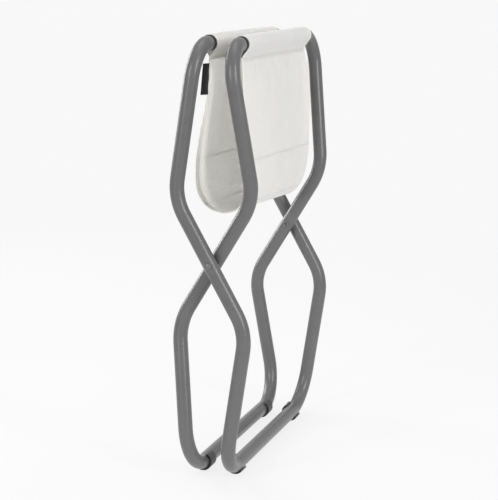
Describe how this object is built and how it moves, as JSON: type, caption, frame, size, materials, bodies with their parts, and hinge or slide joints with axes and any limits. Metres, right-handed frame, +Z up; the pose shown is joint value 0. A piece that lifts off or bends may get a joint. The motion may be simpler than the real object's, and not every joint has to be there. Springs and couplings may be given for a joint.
{
  "type": "folding sling stool",
  "caption": "Folding stool, folded flat: two bent tube frames crossed at rivets, with a woven sling hung in a loop between their top bars.",
  "frame": {"origin": "on the floor below the middle of the rivet line, with the stool folded", "axes": "+Z up; X along the bars; +Y towards the outer frame's top bar; the stool opens along Y"},
  "size_m": [0.4476, 0.1284, 0.6681],
  "materials": {
    "frame_paint": "satin grey powder coat",
    "rivet_paint": "satin grey",
    "black_plastic": "moulded, fine matte",
    "sling_cloth": "off-white open weave",
    "label_cloth": "plain black woven"
  },
  "bodies": {
    "rivets": {"rivet_right": "rivet_paint", "rivet_left": "rivet_paint", "washer_right": "black_plastic", "washer_left": "black_plastic"},
    "outer_frame": {"outer_frame_tube": "frame_paint", "outer_top_bar": "frame_paint", "outer_plug_right": "black_plastic", "outer_plug_left": "black_plastic", "outer_glide_right": "black_plastic", "outer_glide_left": "black_plastic"},
    "outer_sling_upper": {"outer_sleeve": "sling_cloth", "outer_sling_upper": "sling_cloth", "label": "label_cloth"},
    "outer_sling_middle": {"outer_sling_middle": "sling_cloth"},
    "outer_sling_lower": {"outer_sling_lower": "sling_cloth"},
    "outer_sling_bottom": {"outer_sling_bottom": "sling_cloth"},
    "inner_frame": {"inner_frame_tube": "frame_paint", "inner_top_bar": "frame_paint", "inner_plug_right": "black_plastic", "inner_plug_left": "black_plastic", "inner_glide_right": "black_plastic", "inner_glide_left": "black_plastic"},
    "inner_sling_upper": {"inner_sleeve": "sling_cloth", "inner_sling_upper": "sling_cloth"},
    "inner_sling_middle": {"inner_sling_middle": "sling_cloth"},
    "inner_sling_lower": {"inner_sling_lower": "sling_cloth"},
    "inner_sling_bottom": {"inner_sling_bottom": "sling_cloth"}
  },
  "joints": [
    {"name": "outer_fold", "type": "hinge", "parent": "rivets", "child": "outer_frame", "pos_m": [0, 0, 0.3343], "axis": [-1, 0, 0], "range_deg": [0, 47]},
    {"name": "outer_sleeve_turn", "type": "hinge", "parent": "outer_frame", "child": "outer_sling_upper", "pos_m": [0, 0.026, 0.6543], "axis": [-1, 0, 0], "range_deg": [0, 16.4]},
    {"name": "outer_sling_bend_upper", "type": "hinge", "parent": "outer_sling_upper", "child": "outer_sling_middle", "pos_m": [0, 0.034, 0.5813], "axis": [-1, 0, 0], "range_deg": [0, 6.3]},
    {"name": "outer_sling_bend_lower", "type": "hinge", "parent": "outer_sling_middle", "child": "outer_sling_lower", "pos_m": [0, 0.036, 0.4283], "axis": [1, 0, 0], "range_deg": [0, 24.5]},
    {"name": "outer_sling_bend_bottom", "type": "hinge", "parent": "outer_sling_lower", "child": "outer_sling_bottom", "pos_m": [0, 0.015, 0.4033], "axis": [1, 0, 0], "range_deg": [0, 45.3]},
    {"name": "inner_fold", "type": "hinge", "parent": "rivets", "child": "inner_frame", "pos_m": [0, 0, 0.3343], "axis": [1, 0, 0], "range_deg": [0, 47]},
    {"name": "inner_sleeve_turn", "type": "hinge", "parent": "inner_frame", "child": "inner_sling_upper", "pos_m": [0, -0.026, 0.6543], "axis": [1, 0, 0], "range_deg": [0, 16.4]},
    {"name": "inner_sling_bend_upper", "type": "hinge", "parent": "inner_sling_upper", "child": "inner_sling_middle", "pos_m": [0, -0.034, 0.5813], "axis": [1, 0, 0], "range_deg": [0, 6.3]},
    {"name": "inner_sling_bend_lower", "type": "hinge", "parent": "inner_sling_middle", "child": "inner_sling_lower", "pos_m": [0, -0.036, 0.4283], "axis": [-1, 0, 0], "range_deg": [0, 24.5]},
    {"name": "inner_sling_bend_bottom", "type": "hinge", "parent": "inner_sling_lower", "child": "inner_sling_bottom", "pos_m": [0, -0.015, 0.4033], "axis": [-1, 0, 0], "range_deg": [0, 45.3]}
  ],
  "couplings": [
    {"joint": "outer_sleeve_turn", "follows": "outer_fold", "ratio": 0.347},
    {"joint": "outer_sling_bend_upper", "follows": "outer_fold", "ratio": 0.1315},
    {"joint": "outer_sling_bend_lower", "follows": "outer_fold", "ratio": 0.5181},
    {"joint": "outer_sling_bend_bottom", "follows": "outer_fold", "ratio": 0.9604},
    {"joint": "inner_fold", "follows": "outer_fold", "ratio": 1},
    {"joint": "inner_sleeve_turn", "follows": "outer_fold", "ratio": 0.347},
    {"joint": "inner_sling_bend_upper", "follows": "outer_fold", "ratio": 0.1315},
    {"joint": "inner_sling_bend_lower", "follows": "outer_fold", "ratio": 0.5181},
    {"joint": "inner_sling_bend_bottom", "follows": "outer_fold", "ratio": 0.9604}
  ]
}
